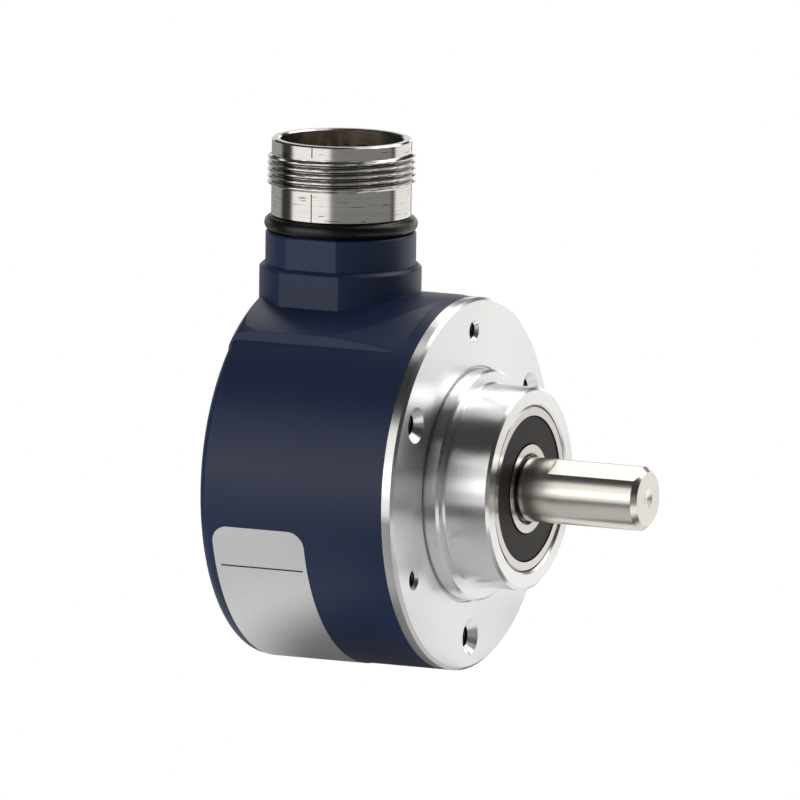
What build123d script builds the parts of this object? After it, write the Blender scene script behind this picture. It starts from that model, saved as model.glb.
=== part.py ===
from build123d import *
from math import asin, cos, degrees, radians, sin, sqrt, tan
import os

# Incremental rotary encoder: a 58 mm body with a clamping flange, a plain shaft in two
# sealed ball bearings, a code disc read by an emitter and a sensor chip, and a round
# connector that stands up from the cover.
# Frame: +X runs out along the shaft and +Z up along the connector. The origin is on the
# shaft axis, in the flange's front mounting face. Lengths are in millimetres.
# Angles about the shaft are counted from +Z towards +Y.

os.makedirs("parts", exist_ok=True)

# Clearances
seat_gap = 0.01  # radial, between pieces that are pressed or slid together
turn_gap = 0.05  # radial, between a turning piece and a still one
ball_gap = 0.02  # between a ball and its two races
pocket_gap = 0.08  # between a ball and its cage
hole_gap = 0.03  # radial, round a screw or pin in its own hole

# Flange
body_diameter = 58.0
flange_rim_length = 1.9
flange_edge_chamfer = 0.45
centring_diameter = 36.0
centring_length = 2.5
centring_chamfer = 0.4
relief_width = 0.4
relief_depth = 0.15
boss_diameter = 31.6
boss_length = 10.0
boss_chamfer = 0.45
boss_root_chamfer = 0.25
spigot_length = 8.1
spigot_chamfer = 0.5
bearing_carrier_wall = 2.4
bore_mouth_chamfer = 0.3
stop_rib_height = 1.8

# Tapped mounting holes in the flange face
mount_circle_diameter = 48.0
small_thread_diameter = 3.0
small_thread_pitch = 0.5
small_hole_depth = 6.0
small_mouth_diameter = 3.5
large_thread_diameter = 4.0
large_thread_pitch = 0.7
large_hole_depth = 7.0
large_mouth_diameter = 5.6
holes_per_size = 3
thread_depth_share = 0.54  # of the pitch, from crest to core
thread_flank_share = 0.3  # of the pitch, along the hole
drill_point_angle = 118.0

# Ball bearings
bearing_diameter = 26.0
bearing_width = 8.0
bearing_recess = 0.25
bearing_spacing = 5.0
bearing_chamfer = 0.35
inner_ring_chamfer = 0.6
ball_diameter = 4.762
ball_count = 7
race_depth = 0.7
outer_seal_seat_radius = 11.4
inner_seal_land_radius = 6.9
seal_seat_width = 1.2
seal_thickness = 0.7
seal_recess = 0.15
seal_bevel = 0.2
cage_thickness = 1.4
cage_rim = 0.4

# Shaft
shaft_diameter = 10.0
shaft_length = 30.0
shaft_chamfer = 0.8
shaft_neck_diameter = 9.4
shaft_neck_length = 0.9
flat_length = 15.4
flat_depth = 0.4
flat_angle = -26.0
shaft_seam_from_flat = 67.5  # degrees, from the flat's middle
centre_mark_diameter = 3.1
centre_mark_depth = 0.45
journal_diameter = 8.0
journal_length = 7.0
shaft_ring_shoulder = 1.0
shaft_end_chamfer = 0.4
spacer_wall = 1.4

# Retaining rings and preload spring
shaft_ring_thickness = 1.0
shaft_ring_width = 1.7
shaft_ring_groove_depth = 0.25
bore_ring_thickness = 1.2
bore_ring_width = 2.0
bore_ring_groove_depth = 0.7
ring_side_gap = 0.05
ring_opening_half_angle = 14.0
ring_lug_radius = 1.2
ring_lug_hole_radius = 0.5
spring_height = 1.2
spring_thickness = 0.45
spring_width = 1.3
carrier_tail_length = 1.3

# Cover
cover_wall = 2.0
cover_rear_wall = 3.0
cover_rear_fillet = 2.0
cover_header_gap = 2.8
cover_slip_gap = 0.05
saddle_half_width = 18.2
saddle_wall_height = 1.6
saddle_rear_wall_height = 1.15
saddle_crest_setback = 15.0
saddle_front_gap = 2.1

# Collar that carries the connector, part of the cover
connector_setback = 23.0
lower_collar_diameter = 25.2
lower_collar_flat = 11.55
lower_collar_rise = 3.9
lower_collar_chamfer = 0.5
collar_foot_depth = 9.0
collar_foot_chamfer = 3.0
upper_collar_diameter = 23.4
upper_collar_flat = 10.9
upper_collar_length = 5.1
upper_collar_chamfer = 0.25
wire_tunnel_diameter = 17.2
wire_tunnel_depth = 3.0

# Cover seal and cover screws
cover_seal_section = 1.6
cover_seal_groove_width = 2.0
cover_seal_setback = 0.8
cover_screw_circle_diameter = 46.4
cover_screw_count = 3
cover_screw_start_angle = 30.0
cover_screw_diameter = 3.0
cover_screw_length = 25.0
cover_screw_head_diameter = 5.5
cover_screw_head_height = 2.0
cover_screw_hole_clearance = 0.2
cover_screw_sink = 2.2
cover_screw_bottom_gap = 0.3
cover_screw_socket_width = 2.0
cover_screw_socket_depth = 1.2
cover_post_radius = 2.6
cover_post_web = 3.0
cover_post_gap = 0.1

# Connector, from its sleeve's foot, which stands just clear of the seal ring
thread_diameter = 23.0
thread_pitch = 1.0
thread_ridges = 5
thread_ridge_height = 0.61
thread_ridge_foot = 0.9
thread_crest_width = 0.2
thread_rise = 4.85
sleeve_diameter = 21.76
sleeve_length = 12.0
sleeve_clearance = 0.1
rim_chamfer = 0.25
socket_bore_diameter = 19.2
shell_spigot_diameter = 19.0
shell_spigot_length = 10.0
shell_lower_bore_diameter = 16.8
connector_o_ring_section = 2.4
insulator_seat_rise = 1.0
insulator_flange_thickness = 1.3
insulator_body_length = 7.5
insulator_ring_thickness = 0.8
insulator_ring_width = 1.5
insulator_ring_groove_depth = 0.5
insulator_ring_opening = 3.0
contact_diameter = 1.0
contact_tip_chamfer = 0.25
contact_reach = 5.0
contact_body_diameter = 1.7
contact_cup_diameter = 1.9
contact_cup_length = 3.0
outer_contacts = 9
outer_contact_circle_diameter = 11.5
outer_contact_start_angle = 20.0
inner_contacts = 3
inner_contact_circle_diameter = 4.8

# Code disc and its hub
hub_clamp_diameter = 17.0
hub_clamp_length = 3.2
hub_front_gap = 0.6
hub_seat_diameter = 11.0
hub_seat_length = 2.4
disc_diameter = 30.0
disc_thickness = 1.0
clamp_ring_thickness = 1.0
clamp_ring_diameter = 18.0
hub_screw_diameter = 3.0
hub_screw_length = 3.9
hub_screw_socket_width = 1.5
hub_screw_socket_depth = 1.3
hub_screw_angles = (45.0, 315.0)

# Circuit board and its carriers
board_diameter = 40.4
board_thickness = 1.6
board_gap = 1.0
standoff_circle_diameter = 36.0
standoff_across_flats = 4.0
standoff_count = 3
standoff_start_angle = 90.0
standoff_stud_diameter = 2.5
standoff_stud_length = 4.0
board_screw_diameter = 2.0
board_screw_length = 6.0
board_screw_head_diameter = 3.8
board_screw_head_height = 1.3
board_screw_socket_width = 1.3
board_screw_socket_depth = 0.7
board_screw_hole_depth = 5.5

# Emitter and sensor, at the bottom of the disc
track_radius = 12.6
emitter_bracket_width = 9.0
emitter_bracket_reach = 9.8
emitter_leg_outer_radius = 21.0
emitter_arm_thickness = 1.3
emitter_disc_gap = 0.6
emitter_side_gap = 0.25
emitter_diameter = 3.0
emitter_air_gap = 0.3
emitter_screw_spread = 6.0
emitter_screw_bite = 3.0
emitter_screw_hole_depth = 6.0
emitter_lead_diameter = 0.6
emitter_lead_spread = 2.54
emitter_lead_radius = 16.2
chip_width = 6.0
chip_thickness = 1.5
mask_width = 4.6
mask_air_gap = 0.3

# Parts on the back of the board
driver_size = (1.6, 10.0, 4.0)
driver_centre = (-5.0, 1.0)
driver_leg_pitch = 1.27
driver_legs_per_side = 7
driver_leg_size = (0.5, 0.4, 1.0)
regulator_size = (1.6, 6.5, 3.5)
regulator_centre = (8.0, -1.0)
capacitor_size = (1.4, 3.2, 2.5)
capacitor_centres = ((-12.0, -6.5), (-6.0, -7.5), (0.0, -9.0), (6.0, -7.5))
header_size = (4.8, 18.0, 4.0)
header_centre_height = 8.0
plug_height = 4.0
plug_width = 16.0
plug_thickness = 2.9
wire_diameter = 1.0
wire_pitch = 2.0
wire_bend_radius = 2.5
wire_rise = 6.5
wire_drop = 3.0

# Label, on the lower side of the cover
label_thickness = 0.12
label_width = 15.6
label_rear_margin = 2.5
label_start_angle = -99.8
label_arc = 83.0
label_corner = 2.6

# Places along the shaft, from the sizes above
body_radius = body_diameter / 2
cover_inner_radius = body_radius - cover_wall
spigot_radius = cover_inner_radius - cover_slip_gap
spigot_rear_x = -flange_rim_length - spigot_length
cover_front_x = -flange_rim_length
bearing_radius = bearing_diameter / 2
bore_radius = bearing_radius + seat_gap
shaft_radius = shaft_diameter / 2
pitch_radius = (bearing_radius + shaft_radius) / 2
ball_radius = ball_diameter / 2
front_bearing_x = boss_length - bearing_recess
rear_bearing_x = front_bearing_x - bearing_width - bearing_spacing
bearings_rear_x = rear_bearing_x - bearing_width
bore_ring_x = bearings_rear_x - spring_height
carrier_rear_x = bore_ring_x - bore_ring_thickness - carrier_tail_length
carrier_radius = bore_radius + bearing_carrier_wall
shaft_ring_rear_x = bearings_rear_x - shaft_ring_thickness - ring_side_gap
journal_front_x = shaft_ring_rear_x - shaft_ring_shoulder
shaft_rear_x = journal_front_x - journal_length
hub_front_x = journal_front_x - hub_front_gap
disc_front_x = hub_front_x - hub_clamp_length
disc_rear_x = disc_front_x - disc_thickness
board_front_x = shaft_rear_x - board_gap
board_rear_x = board_front_x - board_thickness
cover_floor_x = board_rear_x - header_size[0] - cover_header_gap
cover_rear_x = cover_floor_x - cover_rear_wall
cover_length = cover_front_x - cover_rear_x
bracket_rear_x = disc_front_x + emitter_disc_gap
standoff_angle = 90 - standoff_start_angle
standoff_radius = standoff_circle_diameter / 2
board_screw_radius = board_screw_diameter / 2
emitter_screw_places = [(side * emitter_screw_spread / 2, -standoff_radius) for side in (-1, 1)]
cover_screw_angle = 90 - cover_screw_start_angle
cover_screw_ring = cover_screw_circle_diameter / 2
connector_axis = Axis((-connector_setback, 0, 0), (0, 0, 1))

# Heights along the connector, from the sizes above
collar_foot_height = body_radius - collar_foot_depth
lower_collar_height = body_radius + lower_collar_rise
upper_collar_height = lower_collar_height + upper_collar_length
sleeve_foot_height = upper_collar_height + connector_o_ring_section + sleeve_clearance
shell_seat_height = sleeve_foot_height - shell_spigot_length
wire_tunnel_floor = cover_inner_radius - wire_tunnel_depth
thread_start_height = sleeve_foot_height + thread_rise
rim_height = sleeve_foot_height + sleeve_length
insulator_seat_height = sleeve_foot_height + insulator_seat_rise
insulator_height = insulator_seat_height + insulator_flange_thickness
insulator_foot_height = insulator_seat_height - insulator_body_length
contact_tip_height = insulator_height + contact_reach


def around(angle, radius, x=0.0):
    """Point at a distance from the shaft axis, at an angle from +Z towards +Y."""
    return (x, radius * sin(radians(angle)), radius * cos(radians(angle)))


def shaft_plane(angle):
    """Plane through the shaft axis: its x runs along the shaft, its y out at the angle."""
    normal = (0, -cos(radians(angle)), sin(radians(angle)))
    return Plane(origin=(0, 0, 0), x_dir=(1, 0, 0), z_dir=normal)


def shaft_section(points, angle=90.0):
    """Closed outline of (place along the shaft, distance from its axis) pairs."""
    with BuildSketch(shaft_plane(angle)) as section:
        with BuildLine():
            Polyline(*points, close=True)
        make_face()
    return section.sketch


def connector_section(points):
    """Closed outline of (distance from the connector's axis, height) pairs."""
    plane = Plane(origin=(-connector_setback, 0, 0), x_dir=(1, 0, 0), z_dir=(0, -1, 0))
    with BuildSketch(plane) as section:
        with BuildLine():
            Polyline(*points, close=True)
        make_face()
    return section.sketch


def save(part, name):
    """Label a finished piece and write it under the same name."""
    part.label = name
    export_step(part, f"parts/{name}.step")


# Flange

def tapped_hole_section(centre, thread_diameter, pitch, depth, mouth_diameter):
    """Half section of a tapped blind hole in the flange face, with a countersunk mouth."""
    major_radius = thread_diameter / 2
    core_radius = major_radius - thread_depth_share * pitch
    mouth_radius = mouth_diameter / 2
    thread_start = -(mouth_radius - core_radius)
    turns = int((depth + thread_start) / pitch)
    flank = thread_flank_share * pitch
    points = [(0, 0), (0, mouth_radius), (thread_start, core_radius)]
    for turn in range(turns):
        crest_end = thread_start - flank - turn * pitch
        points.append((crest_end, core_radius))
        points.append((crest_end - flank, major_radius))
        points.append((crest_end - 2 * flank, core_radius))
    points.append((-depth, core_radius))
    points.append((-depth - core_radius / tan(radians(drill_point_angle / 2)), 0))
    plane = Plane(origin=centre, x_dir=(1, 0, 0), z_dir=(0, 0, 1))
    with BuildSketch(plane) as section:
        with BuildLine():
            Polyline(*points, close=True)
        make_face()
    return section.sketch


def tapped_holes():
    """Centre and half section of each hole: the small ones start at the top."""
    holes = []
    for index in range(2 * holes_per_size):
        centre = around(index * 180 / holes_per_size, mount_circle_diameter / 2)
        if index % 2 == 0:
            size = (small_thread_diameter, small_thread_pitch, small_hole_depth, small_mouth_diameter)
        else:
            size = (large_thread_diameter, large_thread_pitch, large_hole_depth, large_mouth_diameter)
        holes.append((centre, tapped_hole_section(centre, *size)))
    return holes


seal_groove_x = cover_front_x - cover_seal_setback
seal_groove_depth = cover_seal_section - cover_slip_gap + 2 * seat_gap
seal_groove_radius = spigot_radius - seal_groove_depth
bore_ring_groove_radius = bore_radius + bore_ring_groove_depth
stop_rib_radius = bore_radius - stop_rib_height
centring_radius = centring_diameter / 2
boss_radius = boss_diameter / 2

flange_outline = [
    (boss_length, bore_radius + bore_mouth_chamfer),
    (boss_length, boss_radius - boss_chamfer),
    (boss_length - boss_chamfer, boss_radius),
    (centring_length + boss_root_chamfer, boss_radius),
    (centring_length, boss_radius + boss_root_chamfer),
    (centring_length, centring_radius - centring_chamfer),
    (centring_length - centring_chamfer, centring_radius),
    (-relief_depth, centring_radius),
    (-relief_depth, centring_radius + relief_width),
    (0, centring_radius + relief_width),
    (0, body_radius - flange_edge_chamfer),
    (-flange_edge_chamfer, body_radius),
    (cover_front_x, body_radius),
    (cover_front_x, spigot_radius),
    (seal_groove_x, spigot_radius),
    (seal_groove_x, seal_groove_radius),
    (seal_groove_x - cover_seal_groove_width, seal_groove_radius),
    (seal_groove_x - cover_seal_groove_width, spigot_radius),
    (spigot_rear_x + spigot_chamfer, spigot_radius),
    (spigot_rear_x, spigot_radius - spigot_chamfer),
    (spigot_rear_x, carrier_radius),
    (carrier_rear_x, carrier_radius),
    (carrier_rear_x, bore_radius),
    (bore_ring_x - bore_ring_thickness - ring_side_gap, bore_radius),
    (bore_ring_x - bore_ring_thickness - ring_side_gap, bore_ring_groove_radius),
    (bore_ring_x + ring_side_gap, bore_ring_groove_radius),
    (bore_ring_x + ring_side_gap, bore_radius),
    (rear_bearing_x, bore_radius),
    (rear_bearing_x, stop_rib_radius),
    (front_bearing_x - bearing_width, stop_rib_radius),
    (front_bearing_x - bearing_width, bore_radius),
    (boss_length - bore_mouth_chamfer, bore_radius),
]
cover_screw_tip_x = cover_rear_x + cover_screw_sink + cover_screw_length

with BuildPart() as flange:
    revolve(shaft_section(flange_outline), axis=Axis.X)
    for centre, hole in tapped_holes():
        revolve(hole, axis=Axis(centre, (1, 0, 0)), mode=Mode.SUBTRACT)
    with BuildSketch(Plane.YZ.offset(spigot_rear_x)):
        with PolarLocations(cover_screw_ring, cover_screw_count, start_angle=cover_screw_angle):
            Circle(cover_screw_diameter / 2 + hole_gap)
    extrude(amount=cover_screw_tip_x + cover_screw_bottom_gap - spigot_rear_x, mode=Mode.SUBTRACT)
    with BuildSketch(Plane.YZ.offset(spigot_rear_x)):
        with PolarLocations(standoff_radius, standoff_count, start_angle=standoff_angle):
            Circle(standoff_stud_diameter / 2 + hole_gap)
    extrude(amount=standoff_stud_length + hole_gap, mode=Mode.SUBTRACT)
    with BuildSketch(Plane.YZ.offset(spigot_rear_x)):
        with Locations(*emitter_screw_places):
            Circle(board_screw_radius + hole_gap)
    extrude(amount=emitter_screw_hole_depth, mode=Mode.SUBTRACT)
save(flange.part, "flange")


# Cover: a cup with a saddle and a collar on top, and three screw posts inside

saddle_foot_z = sqrt(body_radius**2 - saddle_half_width**2)
saddle_edge_z = saddle_foot_z + saddle_wall_height
saddle_rear_edge_z = saddle_foot_z + saddle_rear_wall_height
saddle_sag = body_radius - saddle_edge_z
saddle_radius = (saddle_half_width**2 + saddle_sag**2) / (2 * saddle_sag)
saddle_rear_radius = sqrt(saddle_half_width**2 + saddle_rear_edge_z**2)
saddle_crest_radius = sqrt(saddle_half_width**2 + saddle_edge_z**2)
saddle_rear_top = (cover_rear_x, saddle_rear_radius)
saddle_crest = (cover_front_x - saddle_crest_setback, saddle_crest_radius)
saddle_front_top = (cover_front_x - saddle_front_gap, body_radius)

with BuildSketch(Plane.XY) as saddle_limit:
    with BuildLine():
        ThreePointArc(saddle_rear_top, saddle_crest, saddle_front_top)
        Polyline(saddle_front_top, (saddle_front_top[0], 0), (cover_rear_x, 0), saddle_rear_top)
    make_face()
    fillet(
        saddle_limit.vertices().group_by(Axis.X)[0].sort_by(Axis.Y)[-1],
        radius=cover_rear_fillet + saddle_rear_radius - body_radius,
    )

with BuildPart() as saddle:
    with BuildSketch(Plane.YZ.offset(cover_rear_x)):
        with Locations((0, body_radius - saddle_radius)):
            Circle(saddle_radius)
        with Locations((0, body_radius)):
            Rectangle(2 * saddle_half_width, body_radius, mode=Mode.INTERSECT)
    extrude(amount=cover_length)
    revolve(saddle_limit.sketch, axis=Axis.X, mode=Mode.INTERSECT)

with BuildPart() as collar:
    with BuildSketch(Plane.XY.offset(collar_foot_height)):
        with Locations((-connector_setback, 0)):
            Circle(lower_collar_diameter / 2)
    extrude(amount=lower_collar_height - collar_foot_height)
    chamfer(collar.faces().sort_by(Axis.Z)[0].edges(), collar_foot_chamfer)
    with BuildSketch(Plane.XY.offset(collar_foot_height)):
        with Locations((-connector_setback, 0)):
            Rectangle(lower_collar_diameter, 2 * lower_collar_flat)
    extrude(amount=lower_collar_height - collar_foot_height, mode=Mode.INTERSECT)
    chamfer(collar.faces().sort_by(Axis.Z)[-1].edges(), lower_collar_chamfer)
    with BuildSketch(Plane.XY.offset(lower_collar_height)):
        with Locations((-connector_setback, 0)):
            Circle(upper_collar_diameter / 2)
            Rectangle(upper_collar_diameter, 2 * upper_collar_flat, mode=Mode.INTERSECT)
    extrude(amount=upper_collar_height - lower_collar_height)
    chamfer(collar.faces().sort_by(Axis.Z)[-1].edges(), upper_collar_chamfer)

cover_post_front_x = spigot_rear_x - cover_post_gap

with BuildPart() as cover:
    with BuildSketch(Plane.YZ.offset(cover_rear_x)):
        Circle(body_radius)
    extrude(amount=cover_length)
    fillet(cover.edges().sort_by(Axis.X)[0], radius=cover_rear_fillet)
    add(saddle.part)
    add(collar.part)
    with BuildSketch(Plane.YZ.offset(cover_floor_x)):
        Circle(cover_inner_radius)
    extrude(amount=cover_front_x - cover_floor_x, mode=Mode.SUBTRACT)
    with BuildSketch(Plane.YZ.offset(cover_floor_x)):
        with PolarLocations(cover_screw_ring, cover_screw_count, start_angle=cover_screw_angle):
            Circle(cover_post_radius)
            Rectangle(
                cover_inner_radius + cover_wall / 2 - cover_screw_ring,
                cover_post_web,
                align=(Align.MIN, Align.CENTER),
            )
    extrude(amount=cover_post_front_x - cover_floor_x)
    with BuildSketch(Plane.YZ.offset(cover_rear_x)):
        with PolarLocations(cover_screw_ring, cover_screw_count, start_angle=cover_screw_angle):
            Circle(cover_screw_diameter / 2 + cover_screw_hole_clearance)
    extrude(amount=cover_post_front_x - cover_rear_x, mode=Mode.SUBTRACT)
    with BuildSketch(Plane.YZ.offset(cover_rear_x)):
        with PolarLocations(cover_screw_ring, cover_screw_count, start_angle=cover_screw_angle):
            Circle(cover_screw_head_diameter / 2 + cover_screw_hole_clearance)
    extrude(amount=cover_screw_sink, mode=Mode.SUBTRACT)
    with BuildSketch(Plane.XY.offset(wire_tunnel_floor)):
        with Locations((-connector_setback, 0)):
            Circle(wire_tunnel_diameter / 2)
    extrude(amount=shell_seat_height - wire_tunnel_floor, mode=Mode.SUBTRACT)
    with BuildSketch(Plane.XY.offset(shell_seat_height)):
        with Locations((-connector_setback, 0)):
            Circle(shell_spigot_diameter / 2 + hole_gap)
    extrude(amount=upper_collar_height - shell_seat_height, mode=Mode.SUBTRACT)
save(cover.part, "cover")


# Seal ring between the flange's spigot and the cover

with BuildPart() as cover_seal:
    with BuildSketch(Plane.XY):
        with Locations(
            (
                seal_groove_x - cover_seal_groove_width / 2,
                seal_groove_radius + seat_gap + cover_seal_section / 2,
            )
        ):
            Circle(cover_seal_section / 2)
    revolve(axis=Axis.X)
save(cover_seal.part, "cover_seal")


# Screws that hold the cover, from behind

cover_screw_seat_x = cover_rear_x + cover_screw_sink

with BuildPart() as cover_screws:
    with BuildSketch(Plane.YZ.offset(cover_screw_seat_x)):
        with PolarLocations(cover_screw_ring, cover_screw_count, start_angle=cover_screw_angle):
            Circle(cover_screw_diameter / 2)
    extrude(amount=cover_screw_length)
    with BuildSketch(Plane.YZ.offset(cover_screw_seat_x)):
        with PolarLocations(cover_screw_ring, cover_screw_count, start_angle=cover_screw_angle):
            Circle(cover_screw_head_diameter / 2)
    extrude(amount=-cover_screw_head_height)
    with BuildSketch(Plane.YZ.offset(cover_screw_seat_x - cover_screw_head_height)):
        with PolarLocations(cover_screw_ring, cover_screw_count, start_angle=cover_screw_angle):
            RegularPolygon(cover_screw_socket_width / 2, 6, major_radius=False)
    extrude(amount=cover_screw_socket_depth, mode=Mode.SUBTRACT)
save(cover_screws.part, "cover_screws")


# Label, a thin sheet on the lower side of the cover

label_rear_x = cover_rear_x + label_rear_margin
label_outline = [
    (label_rear_x, body_radius),
    (label_rear_x + label_width, body_radius),
    (label_rear_x + label_width, body_radius + label_thickness),
    (label_rear_x, body_radius + label_thickness),
]

label_corner_turn = degrees(label_corner / body_radius)
label_corner_angles = (label_start_angle - label_corner_turn, label_start_angle - label_arc + label_corner_turn)


def label_corner_plane(x, angle):
    """Plane across the label at the centre of a round corner: its x runs along the shaft."""
    return Plane(origin=around(angle, body_radius, x), x_dir=(1, 0, 0), z_dir=around(angle, 1))


with BuildPart() as label:
    revolve(shaft_section(label_outline, label_start_angle), axis=Axis.X, revolution_arc=label_arc)
    for x_side, x in ((-1, label_rear_x + label_corner), (1, label_rear_x + label_width - label_corner)):
        for turn_side, angle in zip((1, -1), label_corner_angles):
            with BuildSketch(label_corner_plane(x, angle)) as corner:
                with Locations((x_side * label_corner, turn_side * label_corner)):
                    Rectangle(2 * label_corner, 2 * label_corner)
                Circle(label_corner, mode=Mode.SUBTRACT)
            extrude(amount=label_corner, both=True, mode=Mode.SUBTRACT)
save(label.part, "label")


# Shaft, with its flat, its ring groove and the thin end for the code disc

shaft_neck_x = front_bearing_x + shaft_neck_length / 2
shaft_outline = [
    (shaft_length, 0),
    (shaft_length, shaft_radius - shaft_chamfer),
    (shaft_length - shaft_chamfer, shaft_radius),
    (shaft_neck_x, shaft_radius),
    (shaft_neck_x, shaft_neck_diameter / 2),
    (shaft_neck_x - shaft_neck_length, shaft_neck_diameter / 2),
    (shaft_neck_x - shaft_neck_length, shaft_radius),
    (bearings_rear_x, shaft_radius),
    (bearings_rear_x, shaft_radius - shaft_ring_groove_depth),
    (shaft_ring_rear_x, shaft_radius - shaft_ring_groove_depth),
    (shaft_ring_rear_x, shaft_radius),
    (journal_front_x, shaft_radius),
    (journal_front_x, journal_diameter / 2),
    (shaft_rear_x + shaft_end_chamfer, journal_diameter / 2),
    (shaft_rear_x, journal_diameter / 2 - shaft_end_chamfer),
    (shaft_rear_x, 0),
]
centre_mark_outline = [
    (shaft_length, 0),
    (shaft_length, centre_mark_diameter / 2),
    (shaft_length - centre_mark_depth, 0),
]
flat_base = around(flat_angle, shaft_radius - flat_depth, shaft_length - flat_length)

with BuildPart() as shaft:
    revolve(shaft_section(shaft_outline, flat_angle + shaft_seam_from_flat), axis=Axis.X)
    revolve(shaft_section(centre_mark_outline), axis=Axis.X, mode=Mode.SUBTRACT)
    with BuildSketch(Plane(origin=flat_base, x_dir=(1, 0, 0), z_dir=around(flat_angle, 1))):
        Rectangle(flat_length, shaft_diameter, align=(Align.MIN, Align.CENTER))
    extrude(amount=shaft_radius, mode=Mode.SUBTRACT)
save(shaft.part, "shaft")


# Ball bearings: each has two rings, two seals, a cage and its balls

def outer_ring_outline(front_x):
    """Half section of a bearing's outer ring, before its ball race is cut."""
    rear_x = front_x - bearing_width
    shoulder_radius = pitch_radius + ball_radius + ball_gap - race_depth
    return [
        (front_x, bearing_radius - bearing_chamfer),
        (front_x - bearing_chamfer, bearing_radius),
        (rear_x + bearing_chamfer, bearing_radius),
        (rear_x, bearing_radius - bearing_chamfer),
        (rear_x, outer_seal_seat_radius),
        (rear_x + seal_seat_width, outer_seal_seat_radius),
        (rear_x + seal_seat_width, shoulder_radius),
        (front_x - seal_seat_width, shoulder_radius),
        (front_x - seal_seat_width, outer_seal_seat_radius),
        (front_x, outer_seal_seat_radius),
    ]


def inner_ring_outline(front_x):
    """Half section of a bearing's inner ring, before its ball race is cut."""
    rear_x = front_x - bearing_width
    ring_bore_radius = shaft_radius + seat_gap
    shoulder_radius = pitch_radius - ball_radius - ball_gap + race_depth
    return [
        (front_x, ring_bore_radius + inner_ring_chamfer),
        (front_x, inner_seal_land_radius),
        (front_x - seal_seat_width, inner_seal_land_radius),
        (front_x - seal_seat_width, shoulder_radius),
        (rear_x + seal_seat_width, shoulder_radius),
        (rear_x + seal_seat_width, inner_seal_land_radius),
        (rear_x, inner_seal_land_radius),
        (rear_x, ring_bore_radius + inner_ring_chamfer),
        (rear_x + inner_ring_chamfer, ring_bore_radius),
        (front_x - inner_ring_chamfer, ring_bore_radius),
    ]


def seal_outline(face_x, inward):
    """Half section of one seal: inward is -1 at the bearing's front face and +1 at its rear."""
    outside_x = face_x + inward * seal_recess
    outer_radius = outer_seal_seat_radius - seat_gap
    inner_radius = inner_seal_land_radius + turn_gap
    return [
        (outside_x, outer_radius - seal_bevel),
        (outside_x + inward * seal_bevel, outer_radius),
        (outside_x + inward * seal_thickness, outer_radius),
        (outside_x + inward * seal_thickness, inner_radius),
        (outside_x + inward * seal_bevel, inner_radius),
        (outside_x, inner_radius + seal_bevel),
    ]


def race_section(middle_x):
    """The ball race's round section, the same cut for both rings."""
    with BuildSketch(Plane.XY) as race:
        with Locations((middle_x, pitch_radius)):
            Circle(ball_radius + ball_gap)
    return race.sketch


def make_bearing(place, front_x):
    """Write the five sub-parts of one bearing."""
    middle_x = front_x - bearing_width / 2
    ball_centres = [around(index * 360 / ball_count, pitch_radius, middle_x) for index in range(ball_count)]

    with BuildPart() as outer_ring:
        revolve(shaft_section(outer_ring_outline(front_x)), axis=Axis.X)
        revolve(race_section(middle_x), axis=Axis.X, mode=Mode.SUBTRACT)
    save(outer_ring.part, f"{place}_bearing_outer_ring")

    with BuildPart() as inner_ring:
        revolve(shaft_section(inner_ring_outline(front_x)), axis=Axis.X)
        revolve(race_section(middle_x), axis=Axis.X, mode=Mode.SUBTRACT)
    save(inner_ring.part, f"{place}_bearing_inner_ring")

    with BuildPart() as seals:
        revolve(shaft_section(seal_outline(front_x, -1)), axis=Axis.X)
        revolve(shaft_section(seal_outline(front_x - bearing_width, 1)), axis=Axis.X)
    save(seals.part, f"{place}_bearing_seals")

    with BuildPart() as cage:
        cage_half_width = ball_radius + pocket_gap + cage_rim
        with BuildSketch(Plane.XY):
            with Locations((middle_x, pitch_radius)):
                Rectangle(2 * cage_half_width, cage_thickness)
        revolve(axis=Axis.X)
        with Locations(*ball_centres):
            Sphere(ball_radius + pocket_gap, mode=Mode.SUBTRACT)
    save(cage.part, f"{place}_bearing_cage")

    with BuildPart() as balls:
        with Locations(*ball_centres):
            Sphere(ball_radius)
    save(balls.part, f"{place}_bearing_balls")


make_bearing("front", front_bearing_x)
make_bearing("rear", rear_bearing_x)

with BuildPart() as bearing_spacer:
    with BuildSketch(Plane.YZ.offset(rear_bearing_x)):
        Circle(shaft_radius + seat_gap + spacer_wall)
        Circle(shaft_radius + seat_gap, mode=Mode.SUBTRACT)
    extrude(amount=bearing_spacing)
save(bearing_spacer.part, "bearing_spacer")


# Preload spring and retaining rings behind the rear bearing

spring_outer_radius = bearing_radius - bearing_chamfer
spring_outline = [
    (bearings_rear_x, spring_outer_radius),
    (bearings_rear_x - spring_thickness, spring_outer_radius),
    (bore_ring_x, spring_outer_radius - spring_width),
    (bore_ring_x + spring_thickness, spring_outer_radius - spring_width),
]

with BuildPart() as preload_spring:
    revolve(shaft_section(spring_outline), axis=Axis.X)
save(preload_spring.part, "preload_spring")


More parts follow.
